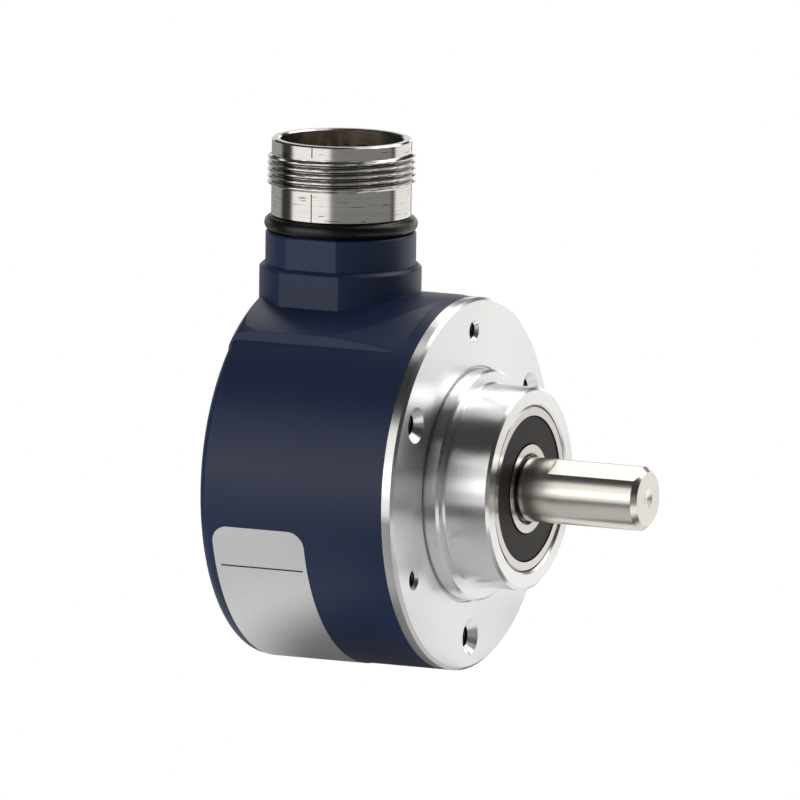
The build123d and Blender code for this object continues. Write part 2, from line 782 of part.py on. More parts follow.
def retaining_ring(front_x, thickness, inner_radius, outer_radius, lug_circle_radius):
    """Open ring with two holed lugs at its gap, which is at the top."""
    reach = 2 * outer_radius
    half_gap = reach * tan(radians(ring_opening_half_angle))
    lug_angle = ring_opening_half_angle + degrees(asin(ring_lug_radius / lug_circle_radius))
    lug_places = [
        (side * lug_circle_radius * sin(radians(lug_angle)), lug_circle_radius * cos(radians(lug_angle)))
        for side in (-1, 1)
    ]
    with BuildPart() as ring:
        with BuildSketch(Plane.YZ.offset(front_x - thickness)):
            Circle(outer_radius)
            Circle(inner_radius, mode=Mode.SUBTRACT)
            with BuildLine():
                Polyline((0, 0), (half_gap, reach), (-half_gap, reach), close=True)
            make_face(mode=Mode.SUBTRACT)
            with Locations(*lug_places):
                Circle(ring_lug_radius)
                Circle(ring_lug_hole_radius, mode=Mode.SUBTRACT)
        extrude(amount=thickness)
    return ring.part


bore_ring_outer_radius = bore_ring_groove_radius - ring_side_gap
bore_retaining_ring = retaining_ring(
    bore_ring_x,
    bore_ring_thickness,
    bore_ring_outer_radius - bore_ring_width,
    bore_ring_outer_radius,
    bore_ring_outer_radius - ring_side_gap - ring_lug_radius,
)
save(bore_retaining_ring, "bore_retaining_ring")

shaft_ring_inner_radius = shaft_radius - shaft_ring_groove_depth + seat_gap
shaft_retaining_ring = retaining_ring(
    bearings_rear_x,
    shaft_ring_thickness,
    shaft_ring_inner_radius,
    shaft_ring_inner_radius + shaft_ring_width,
    shaft_ring_inner_radius + ring_side_gap + ring_lug_radius,
)
save(shaft_retaining_ring, "shaft_retaining_ring")


# Code disc, its hub, its clamp ring and the hub's set screws

journal_radius = journal_diameter / 2
hub_bore_radius = journal_radius + seat_gap
hub_seat_radius = hub_seat_diameter / 2
hub_rear_x = disc_front_x - hub_seat_length
hub_outline = [
    (hub_front_x, hub_bore_radius),
    (hub_front_x, hub_clamp_diameter / 2),
    (disc_front_x, hub_clamp_diameter / 2),
    (disc_front_x, hub_seat_radius),
    (hub_rear_x, hub_seat_radius),
    (hub_rear_x, hub_bore_radius),
]
hub_screw_x = (hub_front_x + disc_front_x) / 2


def hub_screw_plane(angle, radius):
    """Plane across a set screw's axis, at a distance from the shaft axis."""
    return Plane(origin=around(angle, radius, hub_screw_x), x_dir=(1, 0, 0), z_dir=around(angle, 1))


with BuildPart() as code_hub:
    revolve(shaft_section(hub_outline), axis=Axis.X)
    for angle in hub_screw_angles:
        with BuildSketch(hub_screw_plane(angle, journal_radius / 2)):
            Circle(hub_screw_diameter / 2 - hole_gap)
        extrude(amount=hub_clamp_diameter / 2, mode=Mode.SUBTRACT)
save(code_hub.part, "code_hub")

with BuildPart() as hub_set_screws:
    for angle in hub_screw_angles:
        with BuildSketch(hub_screw_plane(angle, journal_radius + hole_gap)):
            Circle(hub_screw_diameter / 2 - 2 * hole_gap)
        extrude(amount=hub_screw_length)
        with BuildSketch(hub_screw_plane(angle, journal_radius + hole_gap + hub_screw_length)):
            RegularPolygon(hub_screw_socket_width / 2, 6, major_radius=False)
        extrude(amount=-hub_screw_socket_depth, mode=Mode.SUBTRACT)
save(hub_set_screws.part, "hub_set_screws")

with BuildPart() as code_disc:
    with BuildSketch(Plane.YZ.offset(disc_rear_x)):
        Circle(disc_diameter / 2)
        Circle(hub_seat_radius + seat_gap, mode=Mode.SUBTRACT)
    extrude(amount=disc_thickness)
save(code_disc.part, "code_disc")

with BuildPart() as disc_clamp_ring:
    with BuildSketch(Plane.YZ.offset(disc_rear_x - clamp_ring_thickness)):
        Circle(clamp_ring_diameter / 2)
        Circle(hub_seat_radius + seat_gap, mode=Mode.SUBTRACT)
    extrude(amount=clamp_ring_thickness)
save(disc_clamp_ring.part, "disc_clamp_ring")


# Circuit board, its standoffs and its screws

with BuildPart() as circuit_board:
    with BuildSketch(Plane.YZ.offset(board_rear_x)):
        Circle(board_diameter / 2)
        with PolarLocations(standoff_radius, standoff_count, start_angle=standoff_angle):
            Circle(board_screw_radius + hole_gap, mode=Mode.SUBTRACT)
    extrude(amount=board_thickness)
save(circuit_board.part, "circuit_board")

with BuildPart() as board_standoffs:
    with BuildSketch(Plane.YZ.offset(board_front_x)):
        with PolarLocations(standoff_radius, standoff_count, start_angle=standoff_angle):
            RegularPolygon(standoff_across_flats / 2, 6, major_radius=False)
    extrude(amount=spigot_rear_x - board_front_x)
    with BuildSketch(Plane.YZ.offset(spigot_rear_x)):
        with PolarLocations(standoff_radius, standoff_count, start_angle=standoff_angle):
            Circle(standoff_stud_diameter / 2)
    extrude(amount=standoff_stud_length)
    with BuildSketch(Plane.YZ.offset(board_front_x)):
        with PolarLocations(standoff_radius, standoff_count, start_angle=standoff_angle):
            Circle(board_screw_radius + hole_gap)
    extrude(amount=board_screw_hole_depth, mode=Mode.SUBTRACT)
save(board_standoffs.part, "board_standoffs")

with BuildPart() as board_screws:
    with BuildSketch(Plane.YZ.offset(board_rear_x)):
        with PolarLocations(standoff_radius, standoff_count, start_angle=standoff_angle):
            Circle(board_screw_radius)
    extrude(amount=board_screw_length)
    with BuildSketch(Plane.YZ.offset(board_rear_x)):
        with PolarLocations(standoff_radius, standoff_count, start_angle=standoff_angle):
            Circle(board_screw_head_diameter / 2)
    extrude(amount=-board_screw_head_height)
    with BuildSketch(Plane.YZ.offset(board_rear_x - board_screw_head_height)):
        with PolarLocations(standoff_radius, standoff_count, start_angle=standoff_angle):
            RegularPolygon(board_screw_socket_width / 2, 6, major_radius=False)
    extrude(amount=board_screw_socket_depth, mode=Mode.SUBTRACT)
save(board_screws.part, "board_screws")


# Emitter side: a bracket that reaches over the disc's edge, its emitter, screws and leads

emitter_leg_inner_radius = carrier_radius + emitter_side_gap
emitter_radius = emitter_diameter / 2
emitter_lead_places = [(side * emitter_lead_spread / 2, -emitter_lead_radius) for side in (-1, 1)]

with BuildPart() as emitter_bracket:
    with BuildSketch(Plane.YZ.offset(bracket_rear_x)):
        with Locations((0, -emitter_leg_outer_radius)):
            Rectangle(
                emitter_bracket_width,
                emitter_leg_outer_radius - emitter_leg_inner_radius,
                align=(Align.CENTER, Align.MIN),
            )
    extrude(amount=spigot_rear_x - bracket_rear_x)
    with BuildSketch(Plane.YZ.offset(bracket_rear_x)):
        with Locations((0, -emitter_leg_outer_radius)):
            Rectangle(emitter_bracket_width, emitter_bracket_reach, align=(Align.CENTER, Align.MIN))
    extrude(amount=emitter_arm_thickness)
    with BuildSketch(Plane.YZ.offset(bracket_rear_x)):
        with Locations(*emitter_screw_places):
            Circle(board_screw_radius + hole_gap)
        with Locations((0, -track_radius)):
            Circle(emitter_radius + hole_gap)
    extrude(amount=spigot_rear_x - bracket_rear_x, mode=Mode.SUBTRACT)
save(emitter_bracket.part, "emitter_bracket")

with BuildPart() as emitter:
    with BuildSketch(Plane.YZ.offset(bracket_rear_x)):
        with Locations((0, -track_radius)):
            Circle(emitter_radius)
    extrude(amount=emitter_arm_thickness)
    with BuildSketch(Plane.YZ.offset(bracket_rear_x)):
        with Locations((0, -track_radius)):
            Circle(emitter_radius - emitter_air_gap)
    extrude(amount=-(emitter_disc_gap - emitter_air_gap))
save(emitter.part, "emitter")

with BuildPart() as emitter_screws:
    with BuildSketch(Plane.YZ.offset(bracket_rear_x)):
        with Locations(*emitter_screw_places):
            Circle(board_screw_radius)
    extrude(amount=spigot_rear_x - bracket_rear_x + emitter_screw_bite)
    with BuildSketch(Plane.YZ.offset(bracket_rear_x)):
        with Locations(*emitter_screw_places):
            Circle(board_screw_head_diameter / 2)
    extrude(amount=-board_screw_head_height)
    with BuildSketch(Plane.YZ.offset(bracket_rear_x - board_screw_head_height)):
        with Locations(*emitter_screw_places):
            RegularPolygon(board_screw_socket_width / 2, 6, major_radius=False)
    extrude(amount=board_screw_socket_depth, mode=Mode.SUBTRACT)
save(emitter_screws.part, "emitter_screws")


# Sensor side: the chip on the board and its slotted mask, just behind the disc

mask_front_x = disc_rear_x - mask_air_gap
chip_front_x = board_front_x + chip_thickness

with BuildPart() as sensor_chip:
    with BuildSketch(Plane.YZ.offset(board_front_x)):
        with Locations((0, -track_radius)):
            Rectangle(chip_width, chip_width)
    extrude(amount=chip_thickness)
save(sensor_chip.part, "sensor_chip")

with BuildPart() as sensor_mask:
    with BuildSketch(Plane.YZ.offset(chip_front_x)):
        with Locations((0, -track_radius)):
            Rectangle(mask_width, mask_width)
    extrude(amount=mask_front_x - chip_front_x)
save(sensor_mask.part, "sensor_mask")


# Parts on the back of the board

with BuildPart() as line_driver:
    with BuildSketch(Plane.YZ.offset(board_rear_x)):
        with Locations(driver_centre):
            Rectangle(driver_size[1], driver_size[2])
    extrude(amount=-driver_size[0])
    with BuildSketch(Plane.YZ.offset(board_rear_x)):
        with Locations(driver_centre):
            with GridLocations(
                driver_leg_pitch, driver_size[2] + driver_leg_size[2], driver_legs_per_side, 2
            ):
                Rectangle(driver_leg_size[1], driver_leg_size[2])
    extrude(amount=-driver_leg_size[0])
save(line_driver.part, "line_driver")

with BuildPart() as voltage_regulator:
    with BuildSketch(Plane.YZ.offset(board_rear_x)):
        with Locations(regulator_centre):
            Rectangle(regulator_size[1], regulator_size[2])
    extrude(amount=-regulator_size[0])
save(voltage_regulator.part, "voltage_regulator")

with BuildPart() as board_capacitors:
    with BuildSketch(Plane.YZ.offset(board_rear_x)):
        with Locations(*capacitor_centres):
            Rectangle(capacitor_size[1], capacitor_size[2])
    extrude(amount=-capacitor_size[0])
save(board_capacitors.part, "board_capacitors")

with BuildPart() as board_header:
    with BuildSketch(Plane.YZ.offset(board_rear_x)):
        with Locations((0, header_centre_height)):
            Rectangle(header_size[1], header_size[2])
    extrude(amount=-header_size[0])
save(board_header.part, "board_header")

plug_foot_z = header_centre_height + header_size[2] / 2
plug_top_z = plug_foot_z + plug_height

with BuildPart() as harness_plug:
    with BuildSketch(Plane.YZ.offset(board_rear_x - (header_size[0] - plug_thickness) / 2)):
        with Locations((0, plug_foot_z)):
            Rectangle(plug_width, plug_height, align=(Align.CENTER, Align.MIN))
    extrude(amount=-plug_thickness)
save(harness_plug.part, "harness_plug")


# Connector: shell, seal ring, insulator with its contacts, and the ring that holds it

shell_spigot_radius = shell_spigot_diameter / 2
lower_bore_radius = shell_lower_bore_diameter / 2
sleeve_radius = sleeve_diameter / 2
rim_bore_radius = socket_bore_diameter / 2
insulator_ring_top = insulator_foot_height
insulator_groove_radius = lower_bore_radius + insulator_ring_groove_depth
shell_outline = [
    (lower_bore_radius, shell_seat_height),
    (shell_spigot_radius, shell_seat_height),
    (shell_spigot_radius, sleeve_foot_height),
    (sleeve_radius, sleeve_foot_height),
]
for ridge in range(thread_ridges):
    foot = thread_start_height + ridge * thread_pitch
    crest_start = foot + (thread_ridge_foot - thread_crest_width) / 2
    shell_outline.append((thread_diameter / 2 - thread_ridge_height, foot))
    shell_outline.append((thread_diameter / 2, crest_start))
    shell_outline.append((thread_diameter / 2, crest_start + thread_crest_width))
    shell_outline.append((thread_diameter / 2 - thread_ridge_height, foot + thread_ridge_foot))
shell_outline += [
    (sleeve_radius, thread_start_height + thread_ridges * thread_pitch),
    (sleeve_radius, rim_height - rim_chamfer),
    (sleeve_radius - rim_chamfer, rim_height),
    (rim_bore_radius + rim_chamfer, rim_height),
    (rim_bore_radius, rim_height - rim_chamfer),
    (rim_bore_radius, insulator_seat_height),
    (lower_bore_radius, insulator_seat_height),
    (lower_bore_radius, insulator_ring_top + ring_side_gap),
    (insulator_groove_radius, insulator_ring_top + ring_side_gap),
    (insulator_groove_radius, insulator_ring_top - insulator_ring_thickness - ring_side_gap),
    (lower_bore_radius, insulator_ring_top - insulator_ring_thickness - ring_side_gap),
]

with BuildPart() as connector_shell:
    revolve(connector_section(shell_outline), axis=connector_axis)
save(connector_shell.part, "connector_shell")

o_ring_radius = shell_spigot_radius + seat_gap + connector_o_ring_section / 2

with BuildPart() as connector_o_ring:
    with BuildSketch(
        Plane(origin=(-connector_setback, 0, 0), x_dir=(1, 0, 0), z_dir=(0, -1, 0))
    ):
        with Locations((o_ring_radius, upper_collar_height + seat_gap + connector_o_ring_section / 2)):
            Circle(connector_o_ring_section / 2)
    revolve(axis=connector_axis)
save(connector_o_ring.part, "connector_o_ring")

contact_places = []
for index in range(outer_contacts):
    angle = radians(outer_contact_start_angle + index * 360 / outer_contacts)
    radius = outer_contact_circle_diameter / 2
    contact_places.append((radius * cos(angle) - connector_setback, radius * sin(angle)))
wired_places = sorted(
    (place for place in contact_places if abs(place[1]) > wire_diameter), key=lambda place: place[1]
)
for index in range(inner_contacts):
    angle = radians(index * 360 / inner_contacts)
    radius = inner_contact_circle_diameter / 2
    contact_places.append((radius * cos(angle) - connector_setback, radius * sin(angle)))

insulator_outline = [
    (0, insulator_foot_height),
    (lower_bore_radius - hole_gap, insulator_foot_height),
    (lower_bore_radius - hole_gap, insulator_seat_height),
    (rim_bore_radius - hole_gap, insulator_seat_height),
    (rim_bore_radius - hole_gap, insulator_height),
    (0, insulator_height),
]

with BuildPart() as connector_insulator:
    revolve(connector_section(insulator_outline), axis=connector_axis)
    with BuildSketch(Plane.XY.offset(insulator_foot_height)):
        with Locations(*contact_places):
            Circle(contact_body_diameter / 2 + hole_gap)
    extrude(amount=insulator_height - insulator_foot_height, mode=Mode.SUBTRACT)
save(connector_insulator.part, "connector_insulator")

contact_foot_z = insulator_foot_height - contact_cup_length

with BuildPart() as contact_pins:
    with BuildSketch(Plane.XY.offset(contact_foot_z)):
        with Locations(*contact_places):
            Circle(contact_cup_diameter / 2)
    extrude(amount=contact_cup_length)
    with BuildSketch(Plane.XY.offset(insulator_foot_height)):
        with Locations(*contact_places):
            Circle(contact_body_diameter / 2)
    extrude(amount=insulator_height - insulator_foot_height)
    with BuildSketch(Plane.XY.offset(insulator_height)):
        with Locations(*contact_places):
            Circle(contact_diameter / 2)
    extrude(amount=contact_tip_height - insulator_height)
    tips = contact_pins.faces().filter_by(Plane.XY).group_by(Axis.Z)[-1].edges()
    chamfer(tips, contact_tip_chamfer)
save(contact_pins.part, "contact_pins")

with BuildPart() as insulator_ring:
    with BuildSketch(Plane.XY.offset(insulator_ring_top - insulator_ring_thickness)):
        with Locations((-connector_setback, 0)):
            Circle(insulator_groove_radius - ring_side_gap)
            Circle(insulator_groove_radius - ring_side_gap - insulator_ring_width, mode=Mode.SUBTRACT)
        with Locations((-connector_setback - insulator_groove_radius, 0)):
            Rectangle(4 * insulator_ring_width, insulator_ring_opening, mode=Mode.SUBTRACT)
    extrude(amount=insulator_ring_thickness)
save(insulator_ring.part, "insulator_ring")


# Wires from the board's plug to the contacts' solder cups

wire_x = board_rear_x - header_size[0] / 2

with BuildPart() as harness_wires:
    for index, place in enumerate(wired_places):
        start_y = (index - (len(wired_places) - 1) / 2) * wire_pitch
        with BuildLine() as route:
            FilletPolyline(
                (wire_x, start_y, plug_top_z),
                (wire_x, start_y, plug_top_z + wire_rise),
                (place[0], place[1], contact_foot_z - wire_drop),
                (place[0], place[1], contact_foot_z),
                radius=wire_bend_radius,
            )
        with BuildSketch(Plane(origin=(wire_x, start_y, plug_top_z), z_dir=(0, 0, 1))):
            Circle(wire_diameter / 2)
        sweep(path=route.wires()[0])
save(harness_wires.part, "harness_wires")

# Leads from the emitter's bracket to the board

with BuildPart() as emitter_leads:
    with BuildSketch(Plane.YZ.offset(board_front_x)):
        with Locations(*emitter_lead_places):
            Circle(emitter_lead_diameter / 2)
    extrude(amount=bracket_rear_x - board_front_x)
save(emitter_leads.part, "emitter_leads")
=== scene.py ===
from math import ceil, cos, pi, radians, sin, tau

import bpy
from mathutils import Matrix, Vector


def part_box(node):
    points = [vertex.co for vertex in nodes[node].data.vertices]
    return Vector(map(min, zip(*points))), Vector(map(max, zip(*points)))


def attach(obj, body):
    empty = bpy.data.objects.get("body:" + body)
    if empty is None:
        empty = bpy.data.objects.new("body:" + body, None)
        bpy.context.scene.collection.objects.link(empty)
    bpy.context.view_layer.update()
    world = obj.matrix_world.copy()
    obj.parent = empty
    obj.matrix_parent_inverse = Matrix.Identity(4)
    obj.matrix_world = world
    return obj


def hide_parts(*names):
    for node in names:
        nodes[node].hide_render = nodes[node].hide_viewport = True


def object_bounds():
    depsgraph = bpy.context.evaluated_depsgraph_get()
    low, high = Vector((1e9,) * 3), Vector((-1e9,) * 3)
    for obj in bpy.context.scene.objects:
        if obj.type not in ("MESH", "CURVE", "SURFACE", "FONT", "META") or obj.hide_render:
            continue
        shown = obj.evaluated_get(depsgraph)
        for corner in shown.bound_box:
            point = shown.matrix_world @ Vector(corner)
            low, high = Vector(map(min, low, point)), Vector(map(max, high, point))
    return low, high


# Incremental rotary encoder: its materials, the connector's real thread, the rule on its label,
# the studio and the camera. Lengths are in metres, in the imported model's own frame: +X out along
# the shaft, +Z up along the connector, origin in the mounting face.

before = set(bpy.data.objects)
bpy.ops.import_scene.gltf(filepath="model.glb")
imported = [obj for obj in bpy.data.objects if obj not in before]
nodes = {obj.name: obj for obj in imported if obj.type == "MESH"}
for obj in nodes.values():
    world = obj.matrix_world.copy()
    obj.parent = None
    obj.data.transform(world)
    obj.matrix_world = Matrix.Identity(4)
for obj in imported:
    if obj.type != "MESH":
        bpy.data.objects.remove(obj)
cad_low, cad_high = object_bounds()
MM = 0.001

# Camera, as the photograph was taken
IMAGE_SIZE = 800
SENSOR_WIDTH = 36.0
CAMERA_AZIMUTH = radians(25.01)
CAMERA_ELEVATION = radians(9.08)
CAMERA_ROLL = radians(0.75)
CAMERA_DISTANCE = 4.343
FOCAL_PIXELS = 28051.0
ORIGIN_PIXEL = (472.2, 483.9)
CLIP_NEAR = 0.01
CLIP_FAR = 20.0

# Studio
FLOOR_GAP = 0.05 * MM
FLOOR_HALF_SIZE = 4.0
BACKGROUND_COLOUR = (1.0, 1.0, 1.0)
LIGHT_COLOUR = (1.0, 0.99, 0.97)
ROOM_LEVEL = 0.03
SIDE_SOFTNESS = radians(4)

# Panels of light on the sky: azimuth from -Y towards +X and half width, height and half height,
# edge softness, all in degrees, and level
SKY_PANELS = [
    (-29, 31, 6, 8, 2, 1.7),
    (-29, 31, 26, 12, 3, 1.0),
    (142, 22, 13, 15, 3, 0.7),
    (140, 24, 46, 15, 4, 2.0),
    (182, 20, 6, 8, 2, 1.2),
    (-150, 20, 44, 13, 3, 1.8),
    (-135, 26, 6, 8, 3, 0.7),
    (180, 90, 74, 16, 4, 0.8),
    (60, 58, 0, 9, 3, 0.2),
]

# Panels of light on the floor: azimuth and half width in degrees, distance, half depth and edge
# softness in millimetres, and level
FLOOR_PANELS = [
    (0, 190, 0, 45, 8, 0.1),
    (30, 38, 30, 35, 6, 0.38),
    (135, 38, 25, 30, 6, 0.7),
    (-60, 42, 70, 38, 8, 0.5),
    (135, 90, 95, 35, 8, 1.0),
    (-30, 34, 1130, 1000, 10, 0.9),
    (60, 56, 1130, 1000, 10, 0.18),
    (155, 30, 1130, 1000, 20, 0.85),
    (-135, 45, 1130, 1000, 20, 0.3),
]

# Connector shell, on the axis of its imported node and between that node's heights
shell_low, shell_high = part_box("connector_shell")
CONNECTOR_X = (shell_low[0] + shell_high[0]) / 2
SHELL_FOOT_Z = shell_low[2]
RIM_Z = shell_high[2]
SHELL_SPIGOT_RADIUS = 9.5 * MM
SHELL_LOWER_BORE_RADIUS = 8.4 * MM
SHELL_BORE_RADIUS = 9.6 * MM
SHELL_SHOULDER_Z = SHELL_FOOT_Z + 11.0 * MM
SLEEVE_FOOT_Z = SHELL_FOOT_Z + 10.0 * MM
SLEEVE_RADIUS = 10.88 * MM
SLEEVE_EDGE = 0.12 * MM
RIM_CHAMFER = 0.25 * MM
SHELL_COLUMNS = 240
SHARP_ANGLE = radians(28)

# Thread on the shell, whose crest sinks into the sleeve at both ends
THREAD_RADIUS = (shell_high[0] - shell_low[0]) / 2
THREAD_START_Z = SLEEVE_FOOT_Z + 4.85 * MM
THREAD_START_ANGLE = radians(115)
THREAD_FADE = radians(60)
THREAD_PITCH = 1.0 * MM
THREAD_TURNS = 5
THREAD_FOOT = 0.9 * MM
THREAD_CREST = 0.2 * MM
THREAD_ROW = 0.05 * MM
THREAD_MARGIN = 0.6 * MM

# Line scribed up the sleeve and the rim, on both sides of the thread
SCRIBE_ANGLE = radians(-90) % tau
SCRIBE_HALF_ANGLE = radians(0.55)
SCRIBE_DEPTH = 0.12 * MM
SCRIBE_COLUMNS = (-1.6, -1.0, 0.0, 1.0, 1.6)
SCRIBE_SLEEVE_TOP_Z = THREAD_START_Z - 0.4 * MM
SCRIBE_RIM_FOOT_Z = THREAD_START_Z + (THREAD_TURNS + 0.3) * THREAD_PITCH

# Rule printed on the label
LABEL_RADIUS = 29.12 * MM
RULE_THICKNESS = 0.01 * MM
RULE_LOW_X = -30.05 * MM
RULE_HIGH_X = -16.15 * MM
RULE_ANGLE = radians(-112.8)
RULE_WIDTH = 0.25 * MM

# Surfaces
BUMP_DISTANCE = 0.02 * MM
EDGE_SAMPLES = 4
MARKS_LOW = 0.3
MARKS_HIGH = 0.7
MARKS_ROUGHNESS_SPREAD = 0.03
ACROSS_THE_MARKS = 0.25
TURNED_LINE_SCALE = 9000.0
TURNED_TURN_SCALE = 0.6
TURNED_BUMP = 0.002
TURNED_TONE = 0.02
TURNED_EDGE_RADIUS = 0.12 * MM
MOULDED_TONE = 0.15

# Shade painted into the colour of holes, gaps and grooves: how far it is felt, the open share
# above which a place stays light, and whether a piece is darkened by itself alone
HOLLOW_SAMPLES = 8
PAINTED_SHADE_COLOUR = (0.05, 0.05, 0.05)
HOLLOW_CLOSED_SHARE = 0.2
WIDE_HOLLOW_SHADE = (5.0 * MM, 0.55, True)
NARROW_GAP_SHADE = (1.2 * MM, 0.95, False)
THREAD_GROOVE_SHADE = (0.8 * MM, 0.85, True)


# Small helpers

def add_object(name, data):
    """New object in the scene, round a mesh or a camera."""
    made = bpy.data.objects.new(name, data)
    bpy.context.scene.collection.objects.link(made)
    return made


def shade(colour, factor):
    """The colour times a factor, with no channel above 1."""
    return tuple(min(1.0, channel * factor) for channel in colour)


def node(tree, kind, **settings):
    """New node of a kind, with its properties and the values of its named sockets."""
    made = tree.nodes.new(kind)
    for key, value in settings.items():
        if hasattr(made, key):
            setattr(made, key, value)
        else:
            made.inputs[key.replace("_", " ")].default_value = value
    return made


def math_node(tree, operation, *values):
    """Output socket of a math node, where each value is a number or an output socket."""
    made = node(tree, "ShaderNodeMath", operation=operation)
    for index, value in enumerate(values):
        if isinstance(value, (int, float)):
            made.inputs[index].default_value = value
        else:
            tree.links.new(value, made.inputs[index])
    return made.outputs[0]


def smooth_step(tree, value, low, high):
    """Socket that rises smoothly from 0 to 1 as value goes from low to high."""
    made = node(
        tree,
        "ShaderNodeMapRange",
        interpolation_type="SMOOTHSTEP",
        From_Min=low,
        From_Max=high,
    )
    tree.links.new(value, made.inputs["Value"])
    return made.outputs["Result"]


def mix_colours(tree, factor, first, second):
    """Socket that goes from the first to the second, each of which is a colour or a socket."""
    mix = node(tree, "ShaderNodeMix", data_type="RGBA")
    for name, colour in (("A", first), ("B", second)):
        if isinstance(colour, tuple):
            mix.inputs[name].default_value = (*colour, 1.0)
        else:
            tree.links.new(colour, mix.inputs[name])
    tree.links.new(factor, mix.inputs["Factor"])
    return mix.outputs["Result"]


def new_tree(owner):
    """Empty node tree of a material or a world."""
    owner.use_nodes = True
    owner.node_tree.nodes.clear()
    return owner.node_tree


# Parts of a surface

def new_material(name, colour, roughness, metallic=0.0):
    """Material with one Principled shader. Returns it, its tree and the shader."""
    made = bpy.data.materials.new(name)
    made.use_nodes = True
    tree = made.node_tree
    shader = tree.nodes["Principled BSDF"]
    shader.inputs["Base Color"].default_value = (*colour, 1.0)
    shader.inputs["Roughness"].default_value = roughness
    shader.inputs["Metallic"].default_value = metallic
    return made, tree, shader


def add_bump(tree, shader, height, strength, edge_radius=0.0, distance=BUMP_DISTANCE):
    """Bump from a height socket, on top of slightly rounded edges."""
    bump = node(tree, "ShaderNodeBump", Strength=strength, Distance=distance)
    tree.links.new(height, bump.inputs["Height"])
    if edge_radius:
        bevel = node(tree, "ShaderNodeBevel", samples=EDGE_SAMPLES, Radius=edge_radius)
        tree.links.new(bevel.outputs["Normal"], bump.inputs["Normal"])
    tree.links.new(bump.outputs["Normal"], shader.inputs["Normal"])


def even_noise(tree, scale, detail, roughness):
    """Noise in the piece's own space, with no direction."""
    place = node(tree, "ShaderNodeTexCoord")
    noise = node(tree, "ShaderNodeTexNoise", Scale=scale, Detail=detail, Roughness=roughness)
    tree.links.new(place.outputs["Object"], noise.inputs["Vector"])
    return noise.outputs["Fac"]


def polar_coordinates(tree, axis):
    """Sockets (place along the axis, distance from it, angle round it) in object space."""
    place = node(tree, "ShaderNodeTexCoord")
    split = node(tree, "ShaderNodeSeparateXYZ")
    tree.links.new(place.outputs["Object"], split.inputs[0])
    order = {"X": "XYZ", "Z": "ZXY"}[axis]
    along, across, upwards = (split.outputs[letter] for letter in order)
    squares = [math_node(tree, "MULTIPLY", side, side) for side in (across, upwards)]
    distance = math_node(tree, "SQRT", math_node(tree, "ADD", *squares))
    angle = math_node(tree, "ARCTAN2", upwards, across)
    return along, distance, angle


def streak_noise(tree, axis, line_scale, turn_scale, detail=3.0):
    """Noise drawn out round an axis, like the marks that a lathe leaves."""
    along, distance, angle = polar_coordinates(tree, axis)
    join = node(tree, "ShaderNodeCombineXYZ")
    tree.links.new(math_node(tree, "MULTIPLY", along, line_scale), join.inputs[0])
    tree.links.new(math_node(tree, "MULTIPLY", distance, line_scale), join.inputs[1])
    tree.links.new(math_node(tree, "MULTIPLY", angle, turn_scale), join.inputs[2])
    noise = node(tree, "ShaderNodeTexNoise", Scale=1.0, Detail=detail, Roughness=0.6)
    tree.links.new(join.outputs[0], noise.inputs["Vector"])
    return noise.outputs["Fac"]


def stretch_gloss(tree, shader, axis, anisotropy):
    """Stretch the gloss across the turning marks, which run round an axis."""
    shader.inputs["Anisotropic"].default_value = anisotropy
    shader.inputs["Anisotropic Rotation"].default_value = ACROSS_THE_MARKS
    tangent = node(tree, "ShaderNodeTangent", direction_type="RADIAL", axis=axis)
    tree.links.new(tangent.outputs["Tangent"], shader.inputs["Tangent"])


def paint_hollow_shade(tree, colour, reach, open_share, alone):
    """Socket with the colour, painted darker as shade in narrow holes, gaps and grooves."""
    openness = node(
        tree,
        "ShaderNodeAmbientOcclusion",
        samples=HOLLOW_SAMPLES,
        only_local=alone,
        Distance=reach,
    )
    unshaded = smooth_step(tree, openness.outputs["AO"], HOLLOW_CLOSED_SHARE, open_share)
    return mix_colours(tree, unshaded, PAINTED_SHADE_COLOUR, colour)


# Materials

def turned_metal(name, colour, roughness, anisotropy=0.6, painted_shade=WIDE_HOLLOW_SHADE):
    """Metal with fine turning marks round the shaft's axis, and the stretched gloss they give."""
    made, tree, shader = new_material(name, colour, roughness, metallic=1.0)
    marks = streak_noise(tree, "X", TURNED_LINE_SCALE, TURNED_TURN_SCALE)
    light_marks = smooth_step(tree, marks, MARKS_LOW, MARKS_HIGH)
    darker = shade(colour, 1.0 - TURNED_TONE)
    lighter = shade(colour, 1.0 + TURNED_TONE / 2)
    streaks = mix_colours(tree, light_marks, darker, lighter)
    # Shade is painted darker into the colour in holes, gaps and grooves.
    tree.links.new(paint_hollow_shade(tree, streaks, *painted_shade), shader.inputs["Base Color"])
    spread = node(
        tree,
        "ShaderNodeMapRange",
        From_Min=MARKS_LOW,
        From_Max=MARKS_HIGH,
        To_Min=roughness * (1.0 - MARKS_ROUGHNESS_SPREAD),
        To_Max=roughness * (1.0 + MARKS_ROUGHNESS_SPREAD),
    )
    tree.links.new(marks, spread.inputs["Value"])
    tree.links.new(spread.outputs["Result"], shader.inputs["Roughness"])
    stretch_gloss(tree, shader, "X", anisotropy)
    add_bump(tree, shader, marks, TURNED_BUMP, TURNED_EDGE_RADIUS)
    return made


def moulded(
    name,
    colour,
    roughness,
    grain=2500.0,
    bump=0.1,
    metallic=0.0,
    gloss=0.5,
    edge_radius=0.1 * MM,
    painted_shade=None,
):
    """Material with a fine even grain, for plastic, rubber and small metal pieces."""
    made, tree, shader = new_material(name, colour, roughness, metallic)
    shader.inputs["Specular IOR Level"].default_value = gloss
    grains = even_noise(tree, grain, detail=4.0, roughness=0.55)
    darker = shade(colour, 1.0 - MOULDED_TONE)
    lighter = shade(colour, 1.0 + MOULDED_TONE)
    surface = mix_colours(tree, grains, darker, lighter)
    # Shade painted darker into the colour in holes, gaps and grooves, when asked for.
    if painted_shade:
        surface = paint_hollow_shade(tree, surface, *painted_shade)
    tree.links.new(surface, shader.inputs["Base Color"])
    add_bump(tree, shader, grains, bump, edge_radius)
    return made


